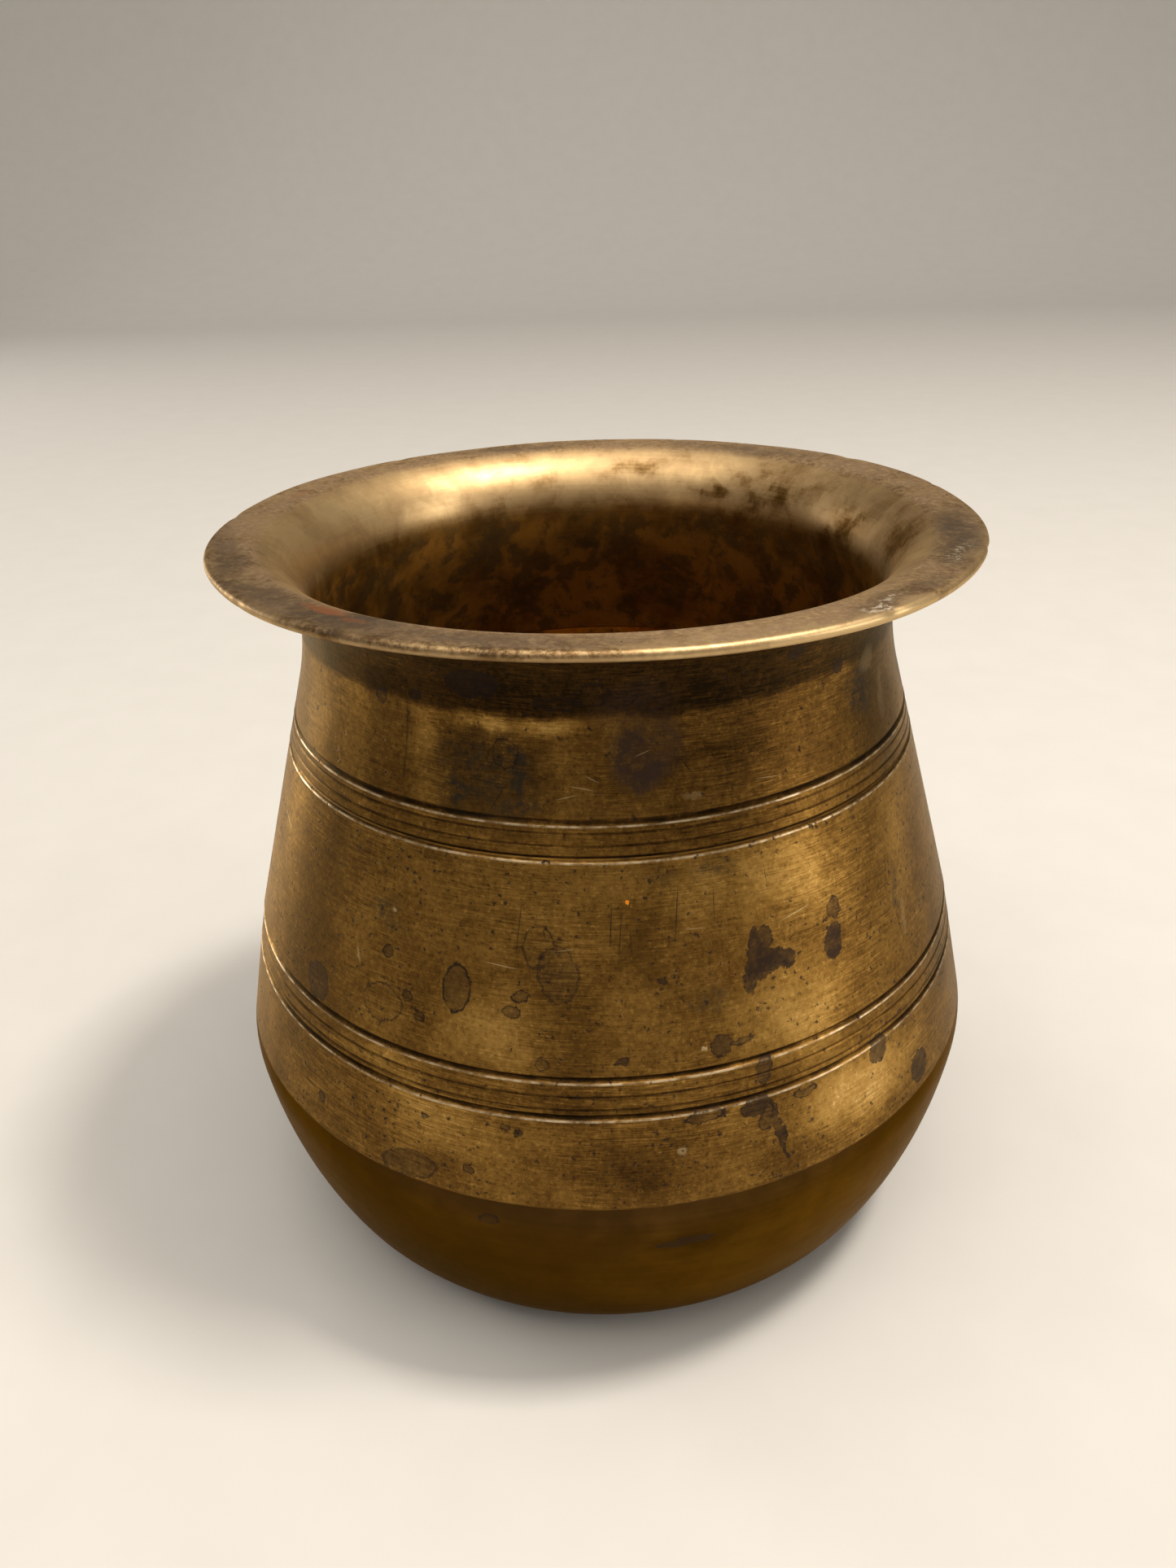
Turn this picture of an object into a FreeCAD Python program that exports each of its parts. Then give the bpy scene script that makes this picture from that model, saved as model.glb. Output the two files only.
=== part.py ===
"""Lota water pot: a round-bodied brass vessel with a flared rim, built from three turned walls.

Neck, body wall and bottom are separate pieces. Each pair meets in a stepped lap, with the brazing filler
in it as a thin ring of its own. Every piece is a closed outline in the (radius, height) plane, turned a
full circle about Z. Millimetres, +Z up, origin in the middle of the face that the pot rests on.
"""
import FreeCAD, Part
import math
import os

# ---- overall sizes ------------------------------------------------------------------------------------
HEIGHT = 126.6            # resting face to the top of the lip
RIM_RADIUS = 62.0         # outermost edge of the lip
WALL = 1.6                # thickness of every wall, square to its surface

# ---- rim and neck -------------------------------------------------------------------------------------
LIP_CREASE_RADIUS = 54.9  # where the flat lip turns down into the flare, inside
LIP_FALL = 0.3            # drop of the lip's top face from its edge to the crease
THROAT_HEIGHT = 115.6     # height of the narrowest point of the mouth
EDGE_RADIUS = WALL / 2.0  # rounding of the lip's outer edge

# ---- outside of the wall: two cones that meet at the lower band of turned lines --------------------------
NECK_FOOT_HEIGHT = 103.5  # where the neck's curve runs into the upper cone
NECK_FOOT_RADIUS = 50.5
BAND_HEIGHT = 61.7        # where the upper cone runs into the lower one
BAND_RADIUS = 62.4
CONE_END_HEIGHT = 41.2    # where the lower cone runs into the bottom bowl
CONE_END_RADIUS = 67.0

# ---- turned lines: heights on the wall -------------------------------------------------------------------
MAIN_LINES = (98.0, 93.0, 61.7, 55.9)
FINE_LINES = (96.5, 94.8, 59.1, 57.1)
MAIN_DEPTH = 0.35
MAIN_HALF_WIDTH = 0.5
FINE_DEPTH = 0.12
FINE_HALF_WIDTH = 0.22

# ---- bottom bowl, outside; its angles say how far the surface leans in from upright ------------------------
KNUCKLE_ARC = 14.0        # round of the widest point
FLANK_ARC = 84.0
FLANK_TOP_LEAN = 6.4      # where the knuckle runs into the flank
FLANK_END_LEAN = 24.6     # where the flank runs into the tighter corner
FOOT_LEAN = 75.0          # where the corner meets the resting face
DISH_RADIUS = 40.0        # shallow turned hollow inside the foot
DISH_DEPTH = 0.8
FLOOR_THICKNESS = 2.0     # over the dish

# ---- lap joints ------------------------------------------------------------------------------------------
UPPER_SEAM = 93.0         # outer edge of the neck's joint, at the root of a main line
LOWER_SEAM = CONE_END_HEIGHT  # outer edge of the bottom's joint
LAP_LENGTH = 5.0          # how far one wall runs inside the other
FILLER = 0.2              # thickness of the brazing filler
DOWN = -1.0
UP = 1.0


# ---- wall shape ------------------------------------------------------------------------------------------
UPPER_SLOPE = (BAND_RADIUS - NECK_FOOT_RADIUS) / (NECK_FOOT_HEIGHT - BAND_HEIGHT)
LOWER_SLOPE = (CONE_END_RADIUS - BAND_RADIUS) / (BAND_HEIGHT - CONE_END_HEIGHT)


def outer_radius(height):
    """Outside of the wall on the two cones."""
    if height >= BAND_HEIGHT:
        return NECK_FOOT_RADIUS + UPPER_SLOPE * (NECK_FOOT_HEIGHT - height)
    return BAND_RADIUS + LOWER_SLOPE * (BAND_HEIGHT - height)


def level_thickness(height):
    """Wall thickness along the radius, which is more than WALL because the wall leans."""
    slope = UPPER_SLOPE if height >= BAND_HEIGHT else LOWER_SLOPE
    return WALL * math.hypot(1.0, slope)


def inner_radius(height):
    return outer_radius(height) - level_thickness(height)


def spigot_radius(height):
    """Outside of a lap's inner half, which leaves half of the filler on each side of the wall's middle."""
    return outer_radius(height) - (level_thickness(height) + FILLER) / 2.0


# ---- outlines --------------------------------------------------------------------------------------------
def on_arc(centre, radius, angle):
    """Point of a circle, its angle in degrees from the outward level line, upwards."""
    turn = math.radians(angle)
    return centre[0] + radius * math.cos(turn), centre[1] + radius * math.sin(turn)


class Outline:
    """Closed outline in the (radius, height) plane, drawn edge by edge from its first point."""

    def __init__(self, point):
        self.start = self.at(point)
        self.here = self.start
        self.edges = []

    @staticmethod
    def at(point):
        return FreeCAD.Vector(point[0], 0.0, point[1])

    def line(self, *points):
        for point in points:
            end = self.at(point)
            self.edges.append(Part.LineSegment(self.here, end).toShape())
            self.here = end

    def sweep(self, centre, radius, start_angle, end_angle):
        """Arc on to end_angle; the outline already stands at start_angle."""
        via = self.at(on_arc(centre, radius, (start_angle + end_angle) / 2.0))
        end = self.at(on_arc(centre, radius, end_angle))
        self.edges.append(Part.Arc(self.here, via, end).toShape())
        self.here = end

    def turned(self):
        """The solid that the outline makes when it is turned about Z."""
        self.edges.append(Part.LineSegment(self.here, self.start).toShape())
        face = Part.Face(Part.Wire(self.edges))
        return face.revolve(FreeCAD.Vector(0, 0, 0), FreeCAD.Vector(0, 0, 1), 360.0)


def line_cuts(high, low):
    """Points of the V cuts between two heights on the wall, from the top down."""
    lines = [(height, MAIN_DEPTH, MAIN_HALF_WIDTH) for height in MAIN_LINES]
    lines += [(height, FINE_DEPTH, FINE_HALF_WIDTH) for height in FINE_LINES]
    points = []
    for height, depth, half_width in sorted(lines, reverse=True):
        if low < height < high:
            points.append((outer_radius(height + half_width), height + half_width))
            points.append((outer_radius(height) - depth, height))
            points.append((outer_radius(height - half_width), height - half_width))
    return points


# ---- laps ------------------------------------------------------------------------------------------------
# The body wall is the outer half of both laps: the neck's spigot runs down inside its upper end, and the
# bottom's spigot runs up inside its lower end.
def seam_radius(seam):
    """Radius of a seam's outer edge, which may lie at the root of a main line."""
    return outer_radius(seam) - (MAIN_DEPTH if seam in MAIN_LINES else 0.0)


def spigot_points(seam, way):
    """End of the piece with the spigot, from the outside in."""
    tip = seam + way * LAP_LENGTH
    return [
        (seam_radius(seam), seam),
        (spigot_radius(seam), seam),
        (spigot_radius(tip), tip),
        (inner_radius(tip), tip),
    ]


def socket_points(seam, way):
    """End of the body wall over that spigot, from the outside in, one filler thickness away."""
    edge = seam + way * FILLER
    step = seam + way * (LAP_LENGTH + FILLER)
    return [
        (seam_radius(seam), edge),
        (spigot_radius(edge) + FILLER, edge),
        (spigot_radius(step) + FILLER, step),
        (inner_radius(step), step),
    ]


def braze_ring(seam, way):
    """Filler between a spigot and its socket."""
    points = spigot_points(seam, way) + socket_points(seam, way)[::-1]
    ring = Outline(points[0])
    ring.line(*points[1:])
    return ring.turned()


# ---- pieces ----------------------------------------------------------------------------------------------
def neck_and_rim():
    cone_angle = math.degrees(math.atan(UPPER_SLOPE))

    # Outside, the neck is one arc, upright at the throat and tangent to the upper cone at its foot.
    neck_rise = THROAT_HEIGHT - NECK_FOOT_HEIGHT
    neck_radius = NECK_FOOT_RADIUS - neck_rise * math.tan(math.radians(cone_angle / 2.0))
    neck_arc = neck_rise / math.sin(math.radians(cone_angle))
    neck_centre = (neck_radius + neck_arc, THROAT_HEIGHT)
    throat_radius = neck_radius - WALL

    # Inside, the flare is one arc, upright at the throat, up to the crease of the lip.
    crease = (LIP_CREASE_RADIUS, HEIGHT - LIP_FALL)
    across = crease[0] - throat_radius
    rise = crease[1] - THROAT_HEIGHT
    flare_arc = (across ** 2 + rise ** 2) / (2.0 * across)
    flare_centre = (throat_radius + flare_arc, THROAT_HEIGHT)
    flare_end = 180.0 - math.degrees(math.asin(rise / flare_arc))

    edge_centre = (RIM_RADIUS - EDGE_RADIUS, HEIGHT - EDGE_RADIUS)
    neck_end = 180.0 + cone_angle
    neck = Outline((edge_centre[0], HEIGHT))
    neck.sweep(edge_centre, EDGE_RADIUS, 90.0, -90.0)
    neck.line(on_arc(flare_centre, flare_arc - WALL, flare_end))
    neck.sweep(flare_centre, flare_arc - WALL, flare_end, 180.0)
    neck.sweep(neck_centre, neck_arc, 180.0, neck_end)
    neck.line(*line_cuts(NECK_FOOT_HEIGHT, UPPER_SEAM))
    neck.line((outer_radius(UPPER_SEAM + MAIN_HALF_WIDTH), UPPER_SEAM + MAIN_HALF_WIDTH))
    neck.line(*spigot_points(UPPER_SEAM, DOWN))
    neck.line(on_arc(neck_centre, neck_arc + WALL, neck_end))
    neck.sweep(neck_centre, neck_arc + WALL, neck_end, 180.0)
    neck.sweep(flare_centre, flare_arc, 180.0, flare_end)
    return neck.turned()


def body_wall():
    top = socket_points(UPPER_SEAM, DOWN)
    wall = Outline(top[0])
    wall.line((outer_radius(UPPER_SEAM - MAIN_HALF_WIDTH), UPPER_SEAM - MAIN_HALF_WIDTH))
    wall.line(*line_cuts(UPPER_SEAM, LOWER_SEAM))
    wall.line(*socket_points(LOWER_SEAM, UP))
    wall.line((inner_radius(BAND_HEIGHT), BAND_HEIGHT))
    wall.line(*top[:0:-1])
    return wall.turned()


def bottom_bowl():
    cone_lean = -math.degrees(math.atan(LOWER_SLOPE))
    shoulder = (CONE_END_RADIUS, CONE_END_HEIGHT)
    knuckle_centre = on_arc(shoulder, KNUCKLE_ARC, 180.0 - cone_lean)
    flank_top = on_arc(knuckle_centre, KNUCKLE_ARC, -FLANK_TOP_LEAN)
    flank_centre = on_arc(flank_top, FLANK_ARC, 180.0 - FLANK_TOP_LEAN)
    flank_end = on_arc(flank_centre, FLANK_ARC, -FLANK_END_LEAN)

    # The corner's arc is as large as lets it reach the resting face at the foot's lean.
    drop = math.sin(math.radians(FOOT_LEAN)) - math.sin(math.radians(FLANK_END_LEAN))
    corner_arc = flank_end[1] / drop
    corner_centre = on_arc(flank_end, corner_arc, 180.0 - FLANK_END_LEAN)

    # Inside, the same arcs one wall thickness smaller, down to the level floor.
    floor_height = DISH_DEPTH + FLOOR_THICKNESS
    floor_lean = math.degrees(math.asin((corner_centre[1] - floor_height) / (corner_arc - WALL)))

    bowl = Outline((0.0, DISH_DEPTH))
    bowl.line((DISH_RADIUS - DISH_DEPTH, DISH_DEPTH), (DISH_RADIUS, 0.0))
    bowl.line(on_arc(corner_centre, corner_arc, -FOOT_LEAN))
    bowl.sweep(corner_centre, corner_arc, -FOOT_LEAN, -FLANK_END_LEAN)
    bowl.sweep(flank_centre, FLANK_ARC, -FLANK_END_LEAN, -FLANK_TOP_LEAN)
    bowl.sweep(knuckle_centre, KNUCKLE_ARC, -FLANK_TOP_LEAN, -cone_lean)
    bowl.line(*spigot_points(LOWER_SEAM, UP)[1:])
    bowl.line(on_arc(knuckle_centre, KNUCKLE_ARC - WALL, -cone_lean))
    bowl.sweep(knuckle_centre, KNUCKLE_ARC - WALL, -cone_lean, -FLANK_TOP_LEAN)
    bowl.sweep(flank_centre, FLANK_ARC - WALL, -FLANK_TOP_LEAN, -FLANK_END_LEAN)
    bowl.sweep(corner_centre, corner_arc - WALL, -FLANK_END_LEAN, -floor_lean)
    bowl.line((0.0, floor_height))
    return bowl.turned()


PIECES = {
    "neck_and_rim": neck_and_rim(),
    "upper_braze_ring": braze_ring(UPPER_SEAM, DOWN),
    "body_wall": body_wall(),
    "lower_braze_ring": braze_ring(LOWER_SEAM, UP),
    "bottom_bowl": bottom_bowl(),
}

os.makedirs("parts", exist_ok=True)
for name, shape in PIECES.items():
    if not shape.isValid() or shape.Volume <= 0.0:
        raise ValueError(name + " is not a sound solid")
    shape.exportStep(os.path.join("parts", name + ".step"))
    box = shape.optimalBoundingBox()
    print(name, "radius", round(box.XMax, 2), "from", round(box.ZMin, 2), "to", round(box.ZMax, 2),
          "volume", round(shape.Volume, 1))
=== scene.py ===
"""Lota water pot: the visual model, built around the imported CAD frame.

Each wall is a closed outline turned about Z, like its CAD node, with the slight unevenness, worn lines and
dents of a hand-finished pot. Outlines and marks are in millimetres, and angles are in degrees round the
pot, 0 at the front (-Y) and 90 at the right (+X).
"""
import bmesh
import bpy
import math
import numpy as np
from mathutils import Matrix, Vector


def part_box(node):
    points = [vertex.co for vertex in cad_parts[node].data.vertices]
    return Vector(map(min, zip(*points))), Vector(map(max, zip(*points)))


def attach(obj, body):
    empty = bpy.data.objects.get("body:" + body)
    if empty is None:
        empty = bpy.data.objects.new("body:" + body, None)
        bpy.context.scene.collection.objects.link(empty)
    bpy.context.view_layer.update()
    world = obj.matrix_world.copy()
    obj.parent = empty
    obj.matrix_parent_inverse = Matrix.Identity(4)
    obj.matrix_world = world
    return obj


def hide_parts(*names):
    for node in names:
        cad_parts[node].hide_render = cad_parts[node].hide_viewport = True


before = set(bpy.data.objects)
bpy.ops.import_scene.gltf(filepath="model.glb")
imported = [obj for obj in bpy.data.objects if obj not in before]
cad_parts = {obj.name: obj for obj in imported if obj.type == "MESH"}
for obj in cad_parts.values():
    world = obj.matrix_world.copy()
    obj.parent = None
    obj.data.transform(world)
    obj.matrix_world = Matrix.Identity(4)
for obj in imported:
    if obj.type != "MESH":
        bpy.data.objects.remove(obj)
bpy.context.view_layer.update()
MM = 0.001

# ---- sizes read from the frame ----
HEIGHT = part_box("neck_and_rim")[1].z / MM
RIM_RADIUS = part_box("neck_and_rim")[1].x / MM
UPPER_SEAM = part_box("upper_braze_ring")[1].z / MM
LOWER_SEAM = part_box("lower_braze_ring")[0].z / MM
WALL_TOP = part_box("body_wall")[1].z / MM
LAP_LENGTH = UPPER_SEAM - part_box("neck_and_rim")[0].z / MM
FILLER = UPPER_SEAM - WALL_TOP

# ---- sizes of the wall's shape, as in the CAD ----
# Points are (radius, height). Leans are degrees below the outward level line.
WALL = 1.6
EDGE_RADIUS = WALL / 2.0
LIP_CREASE = (54.9, HEIGHT - 0.3)
THROAT_HEIGHT = 115.6
NECK_FOOT = (50.5, 103.5)
BAND = (62.4, 61.7)
CONE_END = (67.0, LOWER_SEAM)
KNUCKLE_ARC = 14.0
FLANK_ARC = 84.0
FLANK_TOP_LEAN = 6.4
FLANK_END_LEAN = 24.6
FOOT_LEAN = 75.0
DISH_RADIUS = 40.0
DISH_DEPTH = 0.8
FLOOR_HEIGHT = 2.8
UPPER_SLOPE = (BAND[0] - NECK_FOOT[0]) / (NECK_FOOT[1] - BAND[1])
LOWER_SLOPE = (CONE_END[0] - BAND[0]) / (BAND[1] - CONE_END[1])

# ---- fineness of the meshes ----
SEGMENTS = 640          # round the pot
SHARP_ANGLE = 38.0      # an edge that bends by more degrees than this is drawn sharp
TOUCHING = 1e-4         # points nearer than this are one point

# ---- unevenness of the real pot ----
# Turned lines: height, depth, half width, and where each is worn: (middle angle, half angle, share lost).
LINES = (
    (98.0, 0.34, 0.50, ((4, 14, 0.55), (150, 30, 0.3))),
    (96.5, 0.13, 0.24, ((28, 40, 0.95), (-140, 30, 0.8))),
    (94.8, 0.13, 0.24, ((4, 12, 0.9), (120, 35, 0.7))),
    (93.0, 0.38, 0.50, ((-170, 30, 0.25),)),
    (61.7, 0.38, 0.52, ((110, 25, 0.25),)),
    (59.1, 0.15, 0.26, ((-100, 20, 0.6),)),
    (57.1, 0.14, 0.26, ((50, 25, 0.5), (170, 25, 0.7))),
    (55.9, 0.38, 0.52, ((-60, 18, 0.2),)),
)
MAIN_LINE_DEPTH = 0.3     # lines deeper than this have a burr along their lower edge
BURR = 0.05
BURR_PLACE = 1.2          # below the middle of the line, in half widths of the line
BURR_WIDTH = 0.28

# Shallow dents in the wall: angle, height, depth, half width, half height.
DENTS = (
    (-31, 105, 0.22, 3.5, 9.0),
    (16, 112, 0.16, 7.0, 6.0),
    (-6, 78, 0.14, 9.0, 12.0),
    (29, 70, 0.16, 10.0, 9.0),
    (-46, 74, 0.18, 8.0, 14.0),
    (61, 80, 0.20, 9.0, 13.0),
    (95, 58, 0.32, 8.0, 7.0),
    (133, 88, 0.26, 7.0, 8.0),
    (-118, 66, 0.34, 9.0, 8.0),
    (-160, 97, 0.22, 8.0, 6.0),
    (170, 47, 0.28, 8.0, 7.0),
    (-84, 38, 0.30, 9.0, 8.0),
    (12, 26, 0.15, 12.0, 8.0),
    (-34, 22, 0.18, 10.0, 8.0),
    (74, 24, 0.24, 9.0, 7.0),
)
# Knocks on the rim's edge: angle, depth, half width.
NICKS = (
    (-52, 0.16, 1.2), (-33, 0.22, 1.8), (-12, 0.10, 1.0), (38, 0.26, 1.6), (71, 0.18, 1.5),
    (104, 0.15, 1.2), (127, 0.24, 2.0), (163, 0.14, 1.1), (-96, 0.20, 1.6), (-141, 0.18, 1.3),
)
NICK_REACH = 2.4          # inwards from the edge
# Waves round the pot: size, number in one turn, phase, and change of phase over a millimetre of height.
WALL_WAVES = (
    (0.16, 2, 0.9, 0.0), (0.07, 3, 0.0, 1 / 40), (0.025, 7, 0.0, -1 / 13), (0.018, 11, 1.0, 1 / 9),
)
RIM_WAVES_OUT = ((0.16, 2, -0.5, 0.0), (0.10, 3, 2.0, 0.0), (0.05, 9, 0.0, 0.0))
RIM_WAVES_UP = ((0.20, 2, 1.4, 0.0), (0.12, 3, 0.0, 0.0), (0.05, 6, 0.4, 0.0), (0.025, 13, 1.0, 0.0))
RIM_DROP = 0.2            # lowers the wavy rim, which keeps it near the CAD box
RIM_START = 47.0          # radius where the waves of the rim begin
STEADY_RADIUS = 30.0      # nearer to the axis than this, the waves of the wall die away
RIPPLE = 0.05             # turning marks on the floor and under the foot


# ---- outline ----
def outer_radius(height):
    """Outside of the wall on the two cones."""
    upper = NECK_FOOT[0] + UPPER_SLOPE * (NECK_FOOT[1] - height)
    lower = BAND[0] + LOWER_SLOPE * (BAND[1] - height)
    return np.where(np.asarray(height) >= BAND[1], upper, lower)


def level_thickness(height):
    """Thickness of the wall, measured level."""
    slope = UPPER_SLOPE if height >= BAND[1] else LOWER_SLOPE
    return WALL * math.hypot(1.0, slope)


def inner_point(height):
    """Point on the inside of the wall."""
    return float(outer_radius(height)) - level_thickness(height), height


def lap_point(height, gap=0.0):
    """Point on the outside of a lap's inner half, or gap further out, on the inside of its outer half."""
    return float(outer_radius(height)) - (level_thickness(height) + FILLER) / 2.0 + gap, height


def on_arc(centre, radius, angle):
    """Point on an arc, at an angle in degrees from the outward level line."""
    turn = math.radians(angle)
    return centre[0] + radius * math.cos(turn), centre[1] + radius * math.sin(turn)


def sweep(centre, radius, start, end, step):
    """Points along an arc, from one such angle to another."""
    count = max(3, math.ceil(abs(math.radians(end - start)) * radius / step) + 1)
    turns = np.radians(np.linspace(start, end, count))
    return np.c_[centre[0] + radius * np.cos(turns), centre[1] + radius * np.sin(turns)]


def run(start, end, step):
    """Points along a straight line."""
    start, end = np.array(start, float), np.array(end, float)
    count = max(2, math.ceil(np.linalg.norm(end - start) / step) + 1)
    return start + (end - start) * np.linspace(0.0, 1.0, count)[:, None]


def wall_rows(high, low, step):
    """Points down the outside of the cones, close together where a turned line is cut."""
    heights = [np.linspace(low, high, math.ceil((high - low) / step) + 1)]
    for line, depth, half_width, _ in LINES:
        heights.append(line + half_width * np.linspace(-1.5, 1.25, 12 if depth > MAIN_LINE_DEPTH else 7))
    heights = np.unique(np.round(np.concatenate(heights), 3))
    heights = heights[(heights > low + 0.04) & (heights < high - 0.04)]
    keep = np.concatenate([[True], np.diff(heights) > 0.03])
    heights = np.concatenate([[high], heights[keep][::-1], [low]])
    return np.c_[outer_radius(heights), heights]


# ---- unevenness as numbers ----
def smooth(value, low, high):
    t = np.clip((value - low) / (high - low), 0.0, 1.0)
    return t * t * (3.0 - 2.0 * t)


def apart(angle, other):
    """Degrees from one angle to another, the short way."""
    return (angle - other + 180.0) % 360.0 - 180.0


def waves(rows, angle, height):
    turn = np.radians(angle)
    return sum(size * np.cos(number * turn + phase + climb * height) for size, number, phase, climb in rows)


def line_relief(angle, height):
    """Depth of the turned lines at an angle and height, negative inwards."""
    relief = np.zeros(np.broadcast(angle, height).shape)
    for line, depth, half_width, worn in LINES:
        left = 1.0 + 0.10 * np.cos(np.radians(5.0 * angle + 40.0 * line))
        for middle, half_angle, lost in worn:
            fade = smooth(abs(apart(angle, middle)), 0.55 * half_angle, half_angle)
            left = left * (1.0 - lost * (1.0 - fade))
        u = (height - line) / half_width
        relief = relief - depth * left * np.clip(1.0 - abs(u), 0.0, 1.0) ** 0.9
        if depth > MAIN_LINE_DEPTH:
            relief = relief + BURR * left * np.exp(-((u + BURR_PLACE) / BURR_WIDTH) ** 2)
    return relief


def unevenness(angle, height):
    """How far the wall stands out of round, at an angle and height."""
    out = waves(WALL_WAVES, angle, height)
    for middle, level, depth, half_width, half_height in DENTS:
        along = np.radians(apart(angle, middle)) * float(outer_radius(level)) / half_width
        out = out - depth * np.exp(-along ** 2 - ((height - level) / half_height) ** 2)
    return out


def rim_change(angle, radius, height):
    """Outward and upward change of the flared rim, which is wavier than the wall and is knocked."""
    knocks = 0.0
    for middle, depth, half_width in NICKS:
        knocks = knocks + depth * np.exp(-(np.radians(apart(angle, middle)) * RIM_RADIUS / half_width) ** 2)
    knocks = knocks * smooth(radius, RIM_RADIUS - NICK_REACH, RIM_RADIUS)
    out = waves(RIM_WAVES_OUT, angle, height) - knocks
    rise = waves(RIM_WAVES_UP, angle, height) - RIM_DROP - 0.5 * knocks
    share = smooth(radius, RIM_START, RIM_RADIUS) * smooth(height, THROAT_HEIGHT - 4.0, HEIGHT)
    return share * out, share * rise


# ---- outlines turned into meshes ----
def joined(parts, closed):
    """Joins an outline's parts without doubled points. Gives points, materials and which bear lines."""
    points = np.concatenate([part for part, _, _ in parts])
    finish = np.concatenate([np.full(len(part), number) for part, number, _ in parts])
    lined = np.concatenate([np.full(len(part), float(bears)) for part, _, bears in parts])
    keep = np.ones(len(points), bool)
    keep[1:] = np.linalg.norm(np.diff(points, axis=0), axis=1) > TOUCHING
    if closed and np.linalg.norm(points[0] - points[-1]) < TOUCHING:
        keep[-1] = False
    return points[keep], finish[keep], lined[keep]


def turned_faces(rows, closed):
    """Faces between the rows of points. An open outline starts and ends on the axis, with fans."""
    faces = []
    last = rows if closed else rows - 1
    for i in range(last):
        a, b = i * SEGMENTS, (i + 1) % rows * SEGMENTS
        for j in range(SEGMENTS):
            k = (j + 1) % SEGMENTS
            if not closed and i == 0:
                faces.append((a, b + j, b + k))
            elif not closed and i == last - 1:
                faces.append((a + j, b, a + k))
            else:
                faces.append((a + j, b + j, b + k, a + k))
    return faces


def clean(mesh):
    """Removes the unused copies of a point on the axis, and turns the faces outwards."""
    shape = bmesh.new()
    shape.from_mesh(mesh)
    bmesh.ops.delete(shape, geom=[v for v in shape.verts if not v.link_faces], context="VERTS")
    if shape.calc_volume(signed=True) < 0.0:
        bmesh.ops.reverse_faces(shape, faces=shape.faces[:])
    shape.to_mesh(mesh)
    shape.free()


def add(name, data):
    """New object in the scene."""
    thing = bpy.data.objects.new(name, data)
    bpy.context.scene.collection.objects.link(thing)
    return thing


def turned_mesh(name, parts, closed=True):
    """Object of an outline turned about Z. A part is (points, material number, whether it bears lines)."""
    points, finish, lined = joined(parts, closed)
    angle = (np.arange(SEGMENTS) * 360.0 / SEGMENTS)[None, :]
    radius, height = points[:, :1], points[:, 1:]
    out, rise = rim_change(angle, radius, height)
    out = out + smooth(radius, 0.0, STEADY_RADIUS) * unevenness(angle, height)
    out = out + lined[:, None] * line_relief(angle, height)
    far, turn = radius + out, np.radians(angle)
    places = np.broadcast_arrays(far * np.sin(turn), -far * np.cos(turn), height + rise)
    verts = np.stack(places, -1).reshape(-1, 3) * MM
    faces = turned_faces(len(points), closed)
    mesh = bpy.data.meshes.new(name)
    mesh.from_pydata(verts.tolist(), [], faces)
    numbers = np.roll(finish, -1)[:len(faces) // SEGMENTS]
    mesh.polygons.foreach_set("material_index", np.repeat(numbers, SEGMENTS).tolist())
    mesh.polygons.foreach_set("use_smooth", [True] * len(faces))
    clean(mesh)
    mesh.set_sharp_from_angle(angle=math.radians(SHARP_ANGLE))
    return add(name, mesh)


# ---- pieces ----
OUTSIDE, INSIDE = 0, 1


def neck_and_rim():
    cone_angle = math.degrees(math.atan(UPPER_SLOPE))
    neck_rise = THROAT_HEIGHT - NECK_FOOT[1]
    neck_radius = NECK_FOOT[0] - neck_rise * math.tan(math.radians(cone_angle / 2.0))
    neck_arc = neck_rise / math.sin(math.radians(cone_angle))
    neck_centre = (neck_radius + neck_arc, THROAT_HEIGHT)
    throat_radius = neck_radius - WALL
    across = LIP_CREASE[0] - throat_radius
    rise = LIP_CREASE[1] - THROAT_HEIGHT
    flare_arc = (across ** 2 + rise ** 2) / (2.0 * across)
    flare_centre = (throat_radius + flare_arc, THROAT_HEIGHT)
    flare_end = 180.0 - math.degrees(math.asin(rise / flare_arc))
    edge_centre = (RIM_RADIUS - EDGE_RADIUS, HEIGHT - EDGE_RADIUS)
    under_edge = (edge_centre[0], HEIGHT - WALL)
    under_flare = sweep(flare_centre, flare_arc - WALL, flare_end, 180.0, 0.9)
    neck_inside = sweep(neck_centre, neck_arc + WALL, 180.0 + cone_angle, 180.0, 1.2)
    tip = UPPER_SEAM - LAP_LENGTH
    return turned_mesh("neck_and_rim_worn", (
        (sweep(edge_centre, EDGE_RADIUS, 90.0, -90.0, 0.22), INSIDE, False),
        (run(under_edge, under_flare[0], 1.2), OUTSIDE, False),
        (under_flare, OUTSIDE, False),
        (sweep(neck_centre, neck_arc, 180.0, 180.0 + cone_angle, 1.0), OUTSIDE, False),
        (wall_rows(NECK_FOOT[1], UPPER_SEAM, 1.1), OUTSIDE, True),
        (run(lap_point(UPPER_SEAM), lap_point(tip), 2.5), INSIDE, False),
        (run(inner_point(tip), neck_inside[0], 2.5), INSIDE, False),
        (neck_inside, INSIDE, False),
        (sweep(flare_centre, flare_arc, 180.0, flare_end, 0.8), INSIDE, False),
        (run(LIP_CREASE, (edge_centre[0], HEIGHT), 0.9), INSIDE, False),
    ))


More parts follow.
